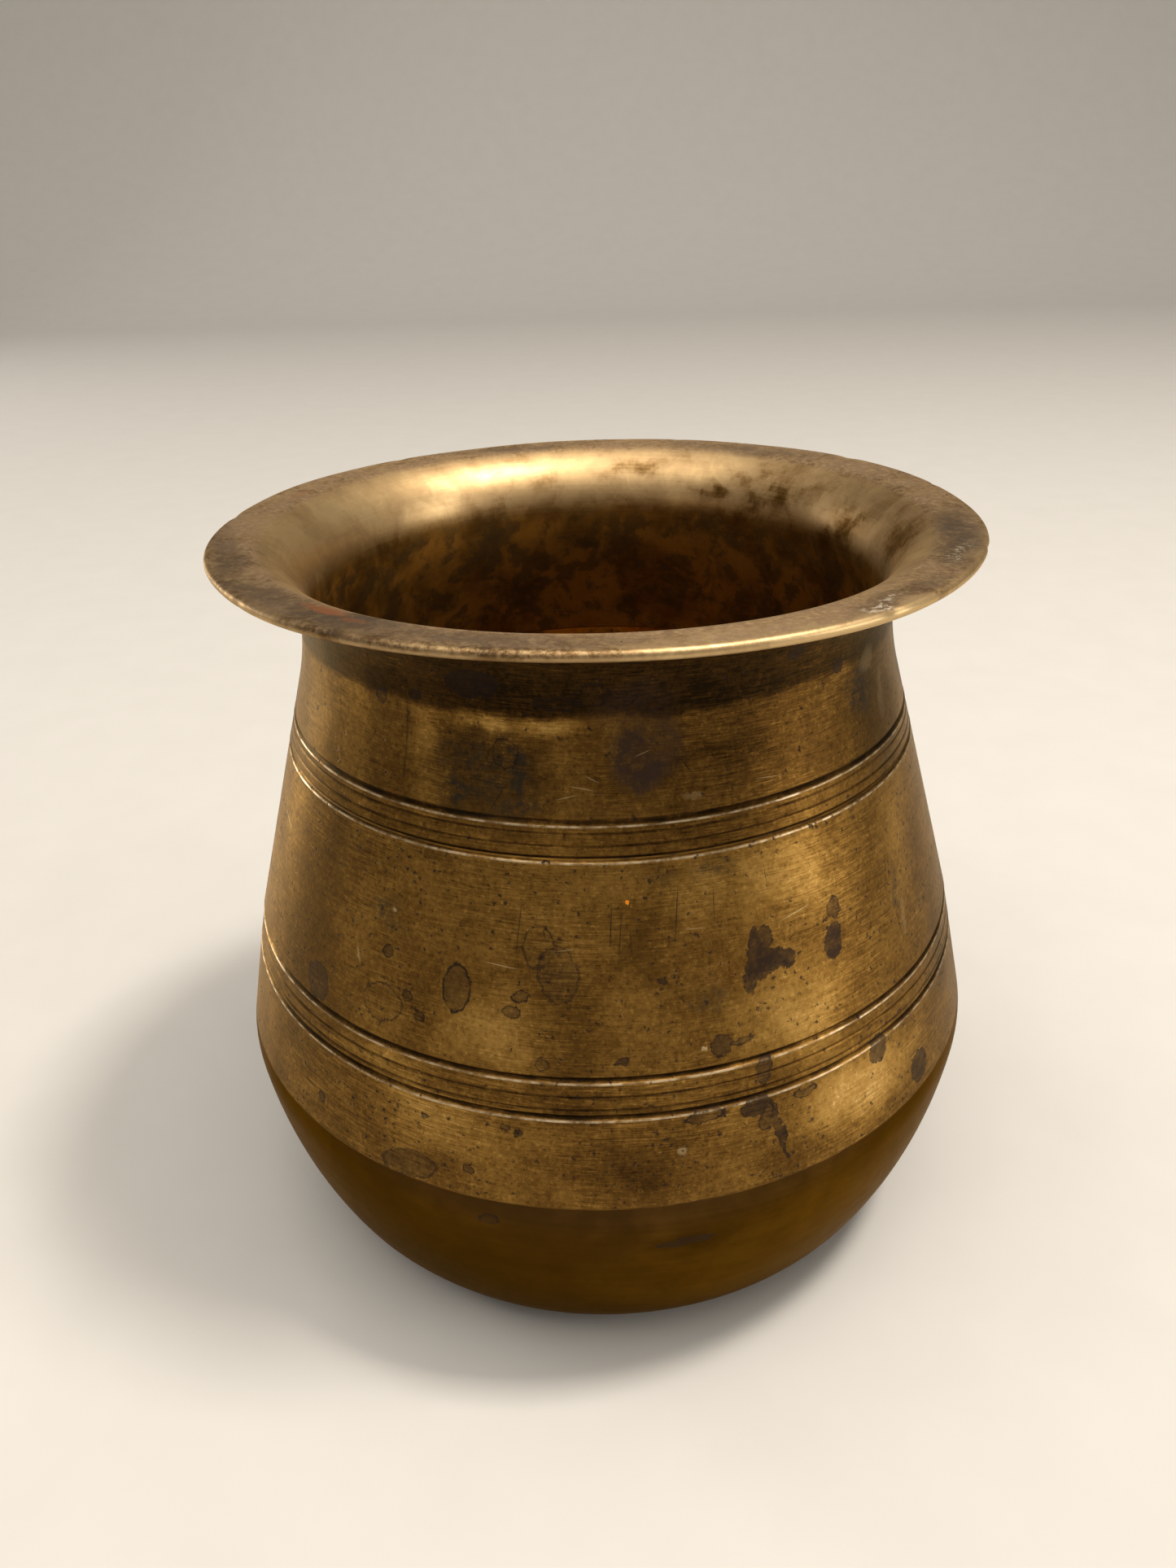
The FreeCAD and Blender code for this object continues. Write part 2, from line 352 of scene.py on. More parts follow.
def body_wall():
    foot_step = LOWER_SEAM + FILLER
    top_step = UPPER_SEAM - FILLER
    return turned_mesh("body_wall_worn", (
        (wall_rows(top_step, foot_step, 1.15), OUTSIDE, True),
        (run(lap_point(foot_step, FILLER), lap_point(foot_step + LAP_LENGTH, FILLER), 2.5), INSIDE, False),
        (run(inner_point(foot_step + LAP_LENGTH), inner_point(BAND[1] - 0.01), 2.6), INSIDE, False),
        (run(inner_point(BAND[1]), inner_point(top_step - LAP_LENGTH), 2.6), INSIDE, False),
        (run(lap_point(top_step - LAP_LENGTH, FILLER), lap_point(top_step, FILLER), 2.5), INSIDE, False),
    ))


def braze_ring(name, seam, way):
    """Filler in a lap, with its outer edge level with the wall's outside."""
    edge = seam + way * FILLER
    tip = seam + way * LAP_LENGTH
    step = tip + way * FILLER
    rim = np.array([(float(outer_radius(height)), height) for height in (edge, seam)])
    return turned_mesh(name, (
        (rim, OUTSIDE, True),
        (run(lap_point(seam), lap_point(tip), 2.5), OUTSIDE, False),
        (run(inner_point(tip), inner_point(step), 1.0), OUTSIDE, False),
        (run(lap_point(step, FILLER), lap_point(edge, FILLER), 2.5), OUTSIDE, False),
    ))


def bottom_bowl():
    lean = -math.degrees(math.atan(LOWER_SLOPE))
    knuckle = on_arc(CONE_END, KNUCKLE_ARC, 180.0 - lean)
    flank_top = on_arc(knuckle, KNUCKLE_ARC, -FLANK_TOP_LEAN)
    flank = on_arc(flank_top, FLANK_ARC, 180.0 - FLANK_TOP_LEAN)
    flank_end = on_arc(flank, FLANK_ARC, -FLANK_END_LEAN)
    corner_arc = flank_end[1] / (math.sin(math.radians(FOOT_LEAN)) - math.sin(math.radians(FLANK_END_LEAN)))
    corner = on_arc(flank_end, corner_arc, 180.0 - FLANK_END_LEAN)
    floor_lean = math.degrees(math.asin((corner[1] - FLOOR_HEIGHT) / (corner_arc - WALL)))
    foot = sweep(corner, corner_arc, -FOOT_LEAN, -FLANK_END_LEAN, 1.0)
    inside = [
        sweep(knuckle, KNUCKLE_ARC - WALL, -lean, -FLANK_TOP_LEAN, 1.0),
        sweep(flank, FLANK_ARC - WALL, -FLANK_TOP_LEAN, -FLANK_END_LEAN, 2.0),
        sweep(corner, corner_arc - WALL, -FLANK_END_LEAN, -floor_lean, 1.4),
    ]
    outside = [
        sweep(flank, FLANK_ARC, -FLANK_END_LEAN, -FLANK_TOP_LEAN, 1.3),
        sweep(knuckle, KNUCKLE_ARC, -FLANK_TOP_LEAN, -lean, 0.8),
    ]
    tip = LOWER_SEAM + LAP_LENGTH
    punch = np.array([(0.0, DISH_DEPTH + 0.5), (0.5, DISH_DEPTH + 0.2), (0.9, DISH_DEPTH)])
    floor = run((inside[2][-1][0], FLOOR_HEIGHT), (1.1, FLOOR_HEIGHT), 2.0)
    floor[:, 1] = floor[:, 1] + RIPPLE * np.cos(floor[:, 0] * 1.6)
    floor[0] = inside[2][-1]
    centre_mark = np.array([(0.5, FLOOR_HEIGHT - 0.15), (0.0, FLOOR_HEIGHT - 0.3)])
    dish = run((0.9, DISH_DEPTH), (DISH_RADIUS - DISH_DEPTH, DISH_DEPTH), 1.0)
    dish[1:-1, 1] = dish[1:-1, 1] + RIPPLE * np.cos(dish[1:-1, 0] * 2.1)
    return turned_mesh("bottom_bowl_worn", (
        (punch, OUTSIDE, False),
        (dish, OUTSIDE, False),
        (run((DISH_RADIUS, 0.0), foot[0], 1.6), OUTSIDE, False),
        (foot, OUTSIDE, False),
        (outside[0], OUTSIDE, False),
        (outside[1], OUTSIDE, False),
        (run(lap_point(LOWER_SEAM), lap_point(tip), 2.5), INSIDE, False),
        (run(inner_point(tip), inside[0][0], 2.5), INSIDE, False),
        (inside[0], INSIDE, False),
        (inside[1], INSIDE, False),
        (inside[2], INSIDE, False),
        (floor, INSIDE, False),
        (centre_mark, INSIDE, False),
    ), closed=False)


# ---- shader graph ----
class Graph:
    """Shader nodes as calls: each gives the output socket that the next one takes."""

    def __init__(self, tree):
        self.tree = tree

    def feed(self, socket, value):
        if isinstance(value, bpy.types.NodeSocket):
            self.tree.links.new(value, socket)
        else:
            socket.default_value = value

    def make(self, kind, inputs=None, out=0, **settings):
        node = self.tree.nodes.new(kind)
        for key, value in settings.items():
            setattr(node, key, value)
        for key, value in (inputs or {}).items():
            self.feed(node.inputs[key], value)
        return node.outputs[out]

    def math(self, operation, a, b=0.0, c=0.0, clamp=False):
        return self.make("ShaderNodeMath", {0: a, 1: b, 2: c}, operation=operation, use_clamp=clamp)

    def vector(self, operation, a, b=(0.0, 0.0, 0.0), out=0):
        return self.make("ShaderNodeVectorMath", {0: a, 1: b}, out=out, operation=operation)

    def times(self, first, *others):
        for other in others:
            first = self.math("MULTIPLY", first, other)
        return first

    def gap(self, a, b):
        """How far one value is from another."""
        return self.math("ABSOLUTE", self.math("SUBTRACT", a, b))

    def scale(self, vector, factor):
        return self.make("ShaderNodeVectorMath", {0: vector, "Scale": factor}, operation="SCALE")

    def smooth(self, value, low, high, to_low=0.0, to_high=1.0):
        return self.make("ShaderNodeMapRange", {0: value, 1: low, 2: high, 3: to_low, 4: to_high},
                         interpolation_type="SMOOTHSTEP")

    def noise(self, point, cell, detail=3.0, roughness=0.55, warp=0.0, out=0):
        """Noise whose largest features are about cell millimetres."""
        return self.make("ShaderNodeTexNoise", {"Vector": point, "Scale": 1.0 / cell, "Detail": detail,
                                                "Roughness": roughness, "Distortion": warp}, out=out)

    def mix(self, share, a, b):
        return self.make("ShaderNodeMix", {0: share, 6: a, 7: b}, out=2, data_type="RGBA")

    def total(self, *terms):
        """Sum of (weight, value) terms and plain numbers."""
        value = None
        for term in terms:
            if isinstance(term, tuple):
                value = self.math("MULTIPLY_ADD", term[1], term[0], 0.0 if value is None else value)
            else:
                value = self.math("ADD", term, 0.0 if value is None else value)
        return value

    def ramp(self, value, stops):
        node = self.tree.nodes.new("ShaderNodeValToRGB")
        elements = node.color_ramp.elements
        while len(elements) < len(stops):
            elements.new(0.5)
        for element, (place, colour) in zip(elements, stops):
            element.position = place
            element.color = (*colour, 1.0)
        self.feed(node.inputs[0], value)
        return node.outputs[0]


def mark_group():
    """Node group: the stronger of a mark and what is there so far. Size is its half width, depth and height.

    Each mark waits for the one before, by a tiny shift of its point, so a long chain needs little memory.
    """
    tree = bpy.data.node_groups.new("mark", "ShaderNodeTree")
    for name, kind in (("So far", "Float"), ("Point", "Vector"), ("Place", "Vector"), ("Turn", "Vector"),
                       ("Size", "Vector"), ("Softness", "Float"), ("Fill", "Float"), ("Edge", "Float"),
                       ("Edge fill", "Float")):
        tree.interface.new_socket(name=name, in_out="INPUT", socket_type="NodeSocket" + kind)
    tree.interface.new_socket(name="Amount", in_out="OUTPUT", socket_type="NodeSocketFloat")
    g = Graph(tree)
    given = tree.nodes.new("NodeGroupInput").outputs
    waits = g.make("ShaderNodeVectorMath", {0: given["So far"], 1: (1e-7, 1e-7, 1e-7), 2: given["Point"]},
                   operation="MULTIPLY_ADD")
    local = g.make("ShaderNodeMapping", {
        "Vector": waits, "Location": given["Place"], "Rotation": given["Turn"], "Scale": given["Size"],
    }, vector_type="TEXTURE")
    distance = g.vector("LENGTH", local, out=1)
    inner = g.math("SUBTRACT", 1.0, given["Softness"])
    outer = g.math("ADD", 1.0, given["Softness"])
    fill = g.times(g.smooth(distance, inner, outer, 1.0, 0.0), given["Fill"])
    edge = g.smooth(g.gap(distance, 1.0), g.times(given["Edge"], 0.2), given["Edge"], 1.0, 0.0)
    strongest = g.math("MAXIMUM", fill, g.times(edge, given["Edge fill"]))
    end = tree.nodes.new("NodeGroupOutput")
    g.feed(end.inputs["Amount"], g.math("MAXIMUM", strongest, given["So far"]))
    return tree


MARK = mark_group()
NECK_MARK_RADIUS = 49.3       # near enough, for placing marks on the bent neck
FLARE_MARK_RADIUS = 49.0
BOTTOM_CURVE = 0.012
MARK_DEPTH = 8.0              # least depth of a mark through the wall
FLAT_MARK_DEPTH = 6.0


def surface_radius(height):
    """Radius of the outside, near enough for placing marks."""
    if height > NECK_FOOT[1]:
        return NECK_MARK_RADIUS
    if height < LOWER_SEAM:
        return CONE_END[0] - BOTTOM_CURVE * (LOWER_SEAM - height) ** 2
    return float(outer_radius(height))


def marks(g, point, rows, softness, edge=0.0, edge_share=0.0, radius=None, flat=False):
    """Strongest of the marks at a point. A row is (angle, height, half width, half height, tilt, amount).

    With flat, the marks lie on a level face, and a row's height is its distance from the axis.
    """
    result = 0.0
    for angle, height, half_width, half_height, tilt, amount in rows:
        turn = math.radians(angle)
        if flat:
            far, level = height, HEIGHT
            size = (half_width, half_height, FLAT_MARK_DEPTH)
        else:
            far, level = radius or surface_radius(height), height
            size = (half_width, max(half_width, half_height, MARK_DEPTH), half_height)
        result = g.make("ShaderNodeGroup", {
            "So far": result,
            "Point": point,
            "Place": (far * math.sin(turn), -far * math.cos(turn), level),
            "Turn": (0.0, math.radians(tilt), turn),
            "Size": size,
            "Softness": softness,
            "Fill": amount,
            "Edge": max(edge / min(half_width, half_height), 0.001),
            "Edge fill": edge_share,
        }, node_tree=MARK)
    return result


# ---- brass ----
TONES = (
    (0.00, (0.014, 0.008, 0.003)),
    (0.22, (0.050, 0.024, 0.006)),
    (0.42, (0.125, 0.062, 0.013)),
    (0.60, (0.250, 0.135, 0.030)),
    (0.80, (0.440, 0.260, 0.070)),
    (1.00, (0.720, 0.500, 0.210)),
)
INSIDE_TONES = (
    (0.00, (0.030, 0.012, 0.002)),
    (0.30, (0.130, 0.052, 0.006)),
    (0.55, (0.340, 0.150, 0.014)),
    (0.80, (0.500, 0.245, 0.028)),
    (1.00, (0.600, 0.350, 0.070)),
)
UMBER = (0.013, 0.006, 0.004, 1.0)
SOOT = (0.024, 0.019, 0.011, 1.0)
PURPLE = (0.040, 0.022, 0.015, 1.0)
PALE = (0.520, 0.400, 0.220, 1.0)
COPPER = (0.300, 0.090, 0.030, 1.0)
ORANGE = (0.900, 0.300, 0.020, 1.0)
PATINA = (0.215, 0.140, 0.082, 1.0)
RUBBED_AND_GLINT = (0.740, 0.600, 0.400, 1.0)
LIP_TARNISH = (0.070, 0.048, 0.032, 1.0)
LIP_RUBBED = (0.420, 0.300, 0.150, 1.0)
LIP_CHIP = (0.750, 0.680, 0.550, 1.0)
FLARE_WORN = (0.420, 0.310, 0.185, 1.0)
FOOT_WORN = (0.300, 0.190, 0.080, 1.0)
DEEP_BROWN = (0.270, 0.115, 0.012, 1.0)
WARM_EDGE = (0.90, 0.79, 0.64, 1.0)     # tints of the metal where it is seen at a grazing angle
DARK_EDGE = (0.78, 0.60, 0.42, 1.0)
STROKE_RADIUS = 55.0                    # where strokes have the length asked for


class Brass:
    """One brass finish. Its tone goes from tarnish black at 0 to bare bright metal at 1.

    Marks are placed by the point itself, or by one of three that wander from it and make outlines uneven:
    steady and shaken a little, loose a lot.
    """

    def __init__(self, name):
        self.material = bpy.data.materials.new(name)
        self.material.use_nodes = True
        self.material.node_tree.nodes.clear()
        self.g = g = Graph(self.material.node_tree)
        self.point = g.scale(g.make("ShaderNodeTexCoord", out=3), 1.0 / MM)
        level = g.vector("MULTIPLY", self.point, (1.0, 1.0, 0.0))
        self.radius = g.vector("LENGTH", level, out=1)
        self.round = g.vector("NORMALIZE", level)
        self.height = g.make("ShaderNodeSeparateXYZ", {0: self.point}, out=2)
        self.side = g.make("ShaderNodeSeparateXYZ", {0: self.round}, out=0)
        shake = g.vector("SUBTRACT", g.noise(self.point, 3.0, 5.0, 0.75, out=1), (0.5, 0.5, 0.5))
        drift = g.vector("SUBTRACT", g.noise(self.point, 14.0, 3.0, out=1), (0.5, 0.5, 0.5))
        self.steady = g.vector("ADD", self.point, g.scale(shake, 2.0))
        self.shaken = g.vector("ADD", self.point, g.scale(shake, 3.0))
        self.loose = g.vector("ADD", self.shaken, g.scale(drift, 9.0))
        self.fine = self.mid = None
        self.tone = self.tint = self.stain = self.burr = None

    def strokes(self, length, width, slant=0.0, across=None):
        """Noise drawn out round the pot: strokes of about that length and width, in millimetres."""
        g = self.g
        up = g.math("ADD", self.height if across is None else across, g.times(self.side, slant))
        lift = g.make("ShaderNodeCombineXYZ", {2: g.math("DIVIDE", up, width)})
        swept = g.scale(self.round, STROKE_RADIUS / length)
        return g.noise(g.vector("ADD", swept, lift), 1.0, 2.0, 0.6)

    def cover(self, amount, colour, share=1.0):
        """Lays a colour over the brass, and counts it as stain, which is duller and less metallic."""
        g = self.g
        amount = g.math("MULTIPLY", amount, share, clamp=True)
        self.tint = g.mix(amount, self.tint, colour)
        self.stain = amount if self.stain is None else g.math("MAXIMUM", self.stain, amount)

    def pits(self, cell, size, kept, zone=None):
        """Small dark pits: about one in each cell of that size, of which a share is kept."""
        g = self.g
        cells = {"Vector": self.shaken, "Scale": 1.0 / cell}
        distance = g.make("ShaderNodeTexVoronoi", cells, out="Distance")
        chance = g.make("ShaderNodeSeparateColor", {0: distance.node.outputs["Color"]})
        chosen = g.math("LESS_THAN", chance, kept if zone is None else g.times(zone, kept))
        return g.times(g.smooth(distance, 0.3 * size / cell, size / cell, 1.0, 0.0), chosen)

    def finish(self, roughness, dull, relief, edge_tint, anisotropic):
        """Puts the material together. Dull is how much rougher a stain is than bare metal."""
        g = self.g
        grain = g.noise(self.point, 3.0, 3.0)
        shader = g.make("ShaderNodeBsdfPrincipled", {
            "Base Color": self.tint,
            "Roughness": g.total(roughness, (dull, self.stain), (0.10, grain), (-0.12, self.tone)),
            "Metallic": g.math("MULTIPLY_ADD", self.stain, -0.28, 1.0, clamp=True),
            "Normal": g.make("ShaderNodeBump", {"Strength": 1.0, "Distance": MM, "Height": relief}),
            "Specular Tint": edge_tint,
            "Anisotropic": anisotropic,
            "Anisotropic Rotation": 0.25,
            "Tangent": g.make("ShaderNodeTangent", direction_type="RADIAL", axis="Z"),
        })
        out = g.tree.nodes.new("ShaderNodeOutputMaterial")
        g.feed(out.inputs["Surface"], shader)
        return self.material


def brushed_tone(b, middle):
    """Tone of a lathe-brushed wall: cloudy tarnish under fine strokes, which are worn away in places."""
    g = b.g
    cloud = g.noise(b.point, 22.0, 4.0, 0.55, 0.4)
    patch = g.noise(b.loose, 6.0, 4.0, 0.62)
    grain = g.noise(b.point, 0.9, 3.0, 0.65)
    b.fine = b.strokes(3.6, 0.17, 2.5)
    b.mid = b.strokes(8.0, 0.38, -3.0)
    strokes = g.total(-0.5, (0.65, b.fine), (0.35, b.mid))
    kept = g.smooth(g.noise(b.point, 17.0, 2.0), 0.38, 0.62, 0.35, 1.0)
    flecks = g.noise(b.point, 0.55, 2.0, 0.6)
    dark_flecks = g.smooth(flecks, 0.60, 0.68)
    bright_flecks = g.smooth(flecks, 0.40, 0.32)
    return g.total(middle - 0.53, (0.36, cloud), (0.34, patch), (0.36, grain), (0.84, g.times(strokes, kept)),
                   (-0.12, dark_flecks), (0.10, bright_flecks))


def line_tone(b, tone):
    """Dirt in the turned lines, and the rubbed burr along the lower edge of the deep ones, which also carries
    a painted highlight.
    """
    g = b.g
    uneven = g.smooth(g.noise(b.point, 5.0, 3.0), 0.30, 0.60, 0.45, 1.0)
    sparkle = g.smooth(g.noise(b.point, 2.8, 4.0, 0.65), 0.38, 0.62, 0.15, 1.0)
    b.burr = 0.0
    for line, depth, half_width, _ in LINES:
        u = g.math("MULTIPLY_ADD", b.height, 1.0 / half_width, -line / half_width)
        dirt = g.smooth(g.gap(u, 0.15), 0.35, 1.15, 1.0, 0.0)
        dark = 0.42 if depth > MAIN_LINE_DEPTH else 0.24
        tone = g.math("MULTIPLY_ADD", g.times(dirt, uneven), -dark, tone)
        if depth > MAIN_LINE_DEPTH:
            burr = g.smooth(g.gap(u, -1.15), 0.08, 0.42, 1.0, 0.0)
            b.burr = g.math("MULTIPLY_ADD", burr, sparkle, b.burr)
    return tone


def set_tone(b, tone, gold_and_highlights, dim, softness, radius=None):
    """Sets the tone, with bright and dim patches in it. On the neck and the flare, the bright patches are
    painted light.
    """
    g = b.g
    tone = g.math("ADD", tone, marks(g, b.loose, gold_and_highlights, softness, radius=radius))
    b.tone = g.math("SUBTRACT", tone, marks(g, b.loose, dim, softness, radius=radius), clamp=True)


def brush_relief(b, depth=0.008):
    g = b.g
    swell = g.noise(b.point, 9.0, 2.0)
    return g.total((depth, b.fine), (1.6 * depth, b.mid), (0.05, swell), (0.006, g.noise(b.point, 0.9, 2.0)))


def scratched(b, dark_rows, pale_rows):
    """Lays dark and pale scratches over a wall, and gives their relief."""
    dark = marks(b.g, b.point, dark_rows, 0.5)
    b.cover(dark, UMBER)
    pale = marks(b.g, b.point, pale_rows, 0.5)
    b.cover(pale, PALE)
    return b.g.total((-0.02, dark), (-0.015, pale))


# Marks seen on the outside: angle, height, half width, half height, tilt, amount.
# Painted light on the neck: bright patches just below the lip's shade, where a lamp from the front left
# falls, and upright bright bands of painted reflection.
NECK_PAINTED_LIGHT = (
    (-18, 110.6, 3.0, 1.0, 0, 0.3), (-7.5, 111.0, 4.2, 1.2, 0, 0.28), (-28.5, 105, 2.6, 8.0, 0, 0.16),
    (20, 103, 6.0, 3.0, 10, 0.05), (-45, 106, 4.0, 11.0, 0, 0.1),
)
NECK_DIM = (
    (30, 107, 12.0, 7.0, 0, 0.12), (57, 105, 7.0, 12.0, 0, 0.18), (10, 95.5, 22.0, 2.4, 0, 0.05),
    (-62, 104, 6.0, 14.0, 0, 0.12), (-19, 103.5, 8.0, 5.0, 0, 0.14), (160, 104, 20.0, 7.0, 0, 0.14),
    (-120, 108, 14.0, 6.0, 0, 0.12), (90, 101, 12.0, 8.0, 0, 0.1),
)
NECK_UMBER = (
    (-20.6, 116.3, 3.8, 2.0, 0, 0.75), (-31, 113.2, 0.8, 0.7, 0, 0.5),
    (-38.5, 112, 1.0, 0.9, 0, 0.45), (44.7, 113, 1.1, 1.1, 0, 0.6), (33.5, 117.5, 1.2, 0.9, 0, 0.6),
    (128, 108, 3.0, 2.4, 10, 0.6), (-95, 104, 2.6, 3.2, 0, 0.55), (-150, 112, 2.2, 2.0, 0, 0.6),
)
NECK_RINGS = (
    (-1.2, 115.3, 2.1, 1.8, 0, 0.12), (-7.0, 114.2, 2.7, 0.8, 0, 0.1), (-15, 107.0, 1.7, 1.9, 0, 0.1),
    (100, 112, 2.4, 2.0, 0, 0.15), (-128, 101.5, 3.0, 2.2, 0, 0.15),
)
NECK_SOOT = (
    (-18.5, 103.2, 6.4, 4.9, 0, 0.62), (-14.2, 104.6, 1.9, 4.2, 0, 0.95), (-24.4, 101.2, 2.0, 1.9, 0, 0.95),
    (-13.4, 99.6, 3.0, 1.3, 0, 0.85), (52.7, 107.3, 3.0, 4.0, 8, 0.8), (145, 101, 5.0, 3.6, 0, 0.6),
)
NECK_PURPLE = (
    (5.2, 106.2, 3.0, 3.4, 18, 0.95), (7.8, 103.6, 2.6, 2.2, -20, 0.95), (10.6, 106.8, 2.2, 3.2, 0, 0.55),
    (6.5, 112.5, 5.0, 4.2, 0, 0.35), (-100, 113, 5.0, 3.5, 0, 0.4),
)
NECK_SCRATCHES = (
    (-33, 105.4, 0.2, 6.8, 1, 0.42), (-16, 101.0, 0.1, 2.2, 30, 0.5), (13.5, 104.5, 0.1, 1.6, -35, 0.6),
    (85, 106, 0.1, 4.0, 25, 0.6), (-110, 106, 0.12, 4.6, -15, 0.5), (150, 112, 0.1, 3.0, 35, 0.6),
)
NECK_PALE_SCRATCHES = (
    (-3.0, 102.6, 1.6, 0.06, 10, 0.45), (-5.4, 101.4, 1.3, 0.06, -14, 0.4), (-1.4, 103.8, 0.9, 0.06, 28, 0.4),
    (6.5, 107.0, 1.1, 0.06, -20, 0.35), (27, 101, 1.8, 0.06, 6, 0.3), (-84, 102, 3.0, 0.09, 14, 0.6),
    (115, 104, 3.6, 0.09, -18, 0.6), (172, 105, 2.6, 0.09, 9, 0.6),
)
NECK_PALE = (
    (54.4, 111.4, 2.3, 1.6, -30, 0.16), (59, 105, 1.0, 4.0, 10, 0.14), (14, 100.8, 1.4, 0.5, 0, 0.16),
)

WALL_GOLD = (
    (-15.5, 66.8, 7.0, 5.0, 0, 0.24), (-19, 51.5, 13.0, 4.2, 0, 0.17), (27, 67.0, 8.0, 7.0, 0, 0.26),
    (30, 86, 9.0, 5.0, 0, 0.2), (38, 49.5, 12.0, 5.0, 0, 0.32), (55, 84, 5.0, 8.0, 0, 0.16),
    (-33, 58.5, 10.0, 1.6, 0, 0.12), (150, 70, 12.0, 9.0, 0, 0.2), (-140, 52, 14.0, 6.0, 0, 0.22),
    (100, 80, 9.0, 8.0, 0, 0.18), (14, 87, 5.0, 3.0, 0, 0.18),
)
WALL_DIM = (
    (-5.5, 60, 5.0, 12.0, 0, 0.07), (6, 79.5, 6.5, 3.4, 0, 0.06), (-50, 76, 8.0, 16.0, 0, 0.14),
    (62, 66, 6.0, 18.0, 0, 0.1), (4, 46.5, 8.0, 4.5, 0, 0.14), (180, 60, 22.0, 12.0, 0, 0.16),
    (-100, 82, 16.0, 9.0, 0, 0.14), (80, 62, 9.0, 7.0, 0, 0.14),
)
WALL_UMBER = (
    (22.4, 75.6, 2.3, 2.6, -8, 0.95), (21.7, 78.6, 0.8, 2.0, 6, 0.9), (23.6, 78.9, 1.0, 1.5, -10, 0.75),
    (26.6, 75.0, 1.5, 1.2, 20, 0.95), (24.6, 75.2, 2.0, 1.5, -14, 0.9), (20.6, 72.9, 1.1, 1.5, 14, 0.9),
    (35.3, 74.6, 1.5, 2.5, 12, 0.92), (15.4, 64.7, 1.5, 1.7, 0, 0.72), (18.4, 65.0, 1.7, 0.35, -8, 0.6),
    (21.2, 59.6, 1.3, 2.0, 10, 0.66), (19.8, 54.3, 2.4, 1.3, -6, 0.85), (22.9, 49.4, 0.5, 4.4, -14, 0.8),
    (21.4, 52.2, 1.3, 2.2, 18, 0.6), (12.6, 54.7, 3.0, 0.8, -4, 0.45), (27.2, 53.9, 2.0, 0.7, -6, 0.45),
    (41.2, 54.2, 2.0, 2.2, 30, 0.8), (50.8, 45.2, 2.6, 2.5, 14, 0.8), (-47.2, 65.2, 2.6, 3.0, -24, 0.55),
    (-12.9, 71.0, 1.3, 0.9, 10, 0.55), (-11.8, 73.4, 1.1, 0.8, 0, 0.5), (-32.9, 75.6, 0.9, 0.9, 0, 0.55),
    (-29.0, 70.1, 0.9, 0.8, 0, 0.45), (-26.8, 67.7, 0.8, 0.7, 0, 0.5), (-12.0, 52.9, 0.7, 0.6, 0, 0.8),
    (-13.7, 53.6, 0.6, 0.6, 0, 0.6), (-43.9, 46.5, 0.8, 0.7, 0, 0.55), (-25.2, 52.5, 0.4, 0.4, 0, 0.8),
    (1.8, 64.2, 0.8, 0.5, 0, 0.8), (-18.6, 45.6, 0.9, 0.8, 0, 0.5), (7.6, 75.7, 0.5, 0.4, 0, 0.8),
    (36.2, 79.4, 1.0, 1.6, 8, 0.6), (118, 71, 2.6, 3.4, 14, 0.8), (136, 54, 3.0, 2.0, 0, 0.7),
    (-88, 60, 2.4, 3.0, 0, 0.7), (-152, 74, 2.8, 3.6, -12, 0.75), (-128, 86, 1.8, 1.4, 0, 0.6),
    (168, 82, 2.0, 2.8, 6, 0.7), (83, 49, 1.8, 2.4, 0, 0.7),
)
WALL_RINGS = ((-21.3, 73.3, 2.1, 3.6, 4, 0.46), (146, 78, 2.8, 4.0, 0, 0.35))
WALL_FAINT_RINGS = (
    (-33.3, 67.7, 3.6, 2.8, 0, 0.06), (-9.0, 63.9, 0.8, 0.8, 0, 0.3), (-27.5, 43.4, 5.0, 2.2, -12, 0.34),
    (-108, 71, 3.4, 3.0, 10, 0.2), (64, 56, 2.4, 2.6, 0, 0.2), (-7.6, 78.4, 1.7, 1.5, 0, 0.25),
    (-9.4, 80.6, 2.2, 3.0, 8, 0.1), (-6.6, 76.9, 2.8, 4.0, -12, 0.34),
)
WALL_SOOT = (
    (-33.8, 81.4, 2.8, 1.6, 0, 0.55), (-32.3, 80.0, 2.0, 3.6, 0, 0.35), (51.2, 75.6, 1.6, 3.8, 0, 0.55),
    (14.4, 72.8, 2.4, 1.8, 0, 0.55), (16.5, 89.5, 3.4, 1.4, 0, 0.6), (8.0, 90.2, 2.6, 1.0, 0, 0.4),
    (-170, 88, 4.0, 3.0, 0, 0.5), (110, 90, 4.0, 2.0, 0, 0.5),
)
WALL_PALE = (
    (9.4, 49.6, 0.75, 0.75, 0, 0.35), (12.9, 64.9, 0.45, 0.3, 0, 0.6), (-32.6, 82.0, 0.35, 0.35, 0, 0.6),
    (52.5, 71.0, 0.7, 3.0, 6, 0.16), (-38.6, 73.0, 0.2, 1.0, -10, 0.4),
)
WALL_SCRATCHES = (
    (0.8, 83.4, 0.1, 2.7, 4, 0.75), (3.6, 81.2, 0.09, 1.9, -3, 0.6), (10.3, 85.0, 0.1, 3.6, 7, 0.8),
    (15.9, 85.2, 0.09, 2.2, 2, 0.7), (2.1, 82.2, 0.08, 3.4, 5, 0.7), (24.6, 87.4, 0.08, 1.8, -4, 0.5),
    (-12.3, 83.2, 0.1, 3.6, 5, 0.65), (70, 80, 0.1, 4.0, 20, 0.7), (-75, 70, 0.1, 5.0, -30, 0.7),
    (128, 62, 0.1, 4.0, 40, 0.7), (-135, 60, 0.1, 6.0, 25, 0.6),
)
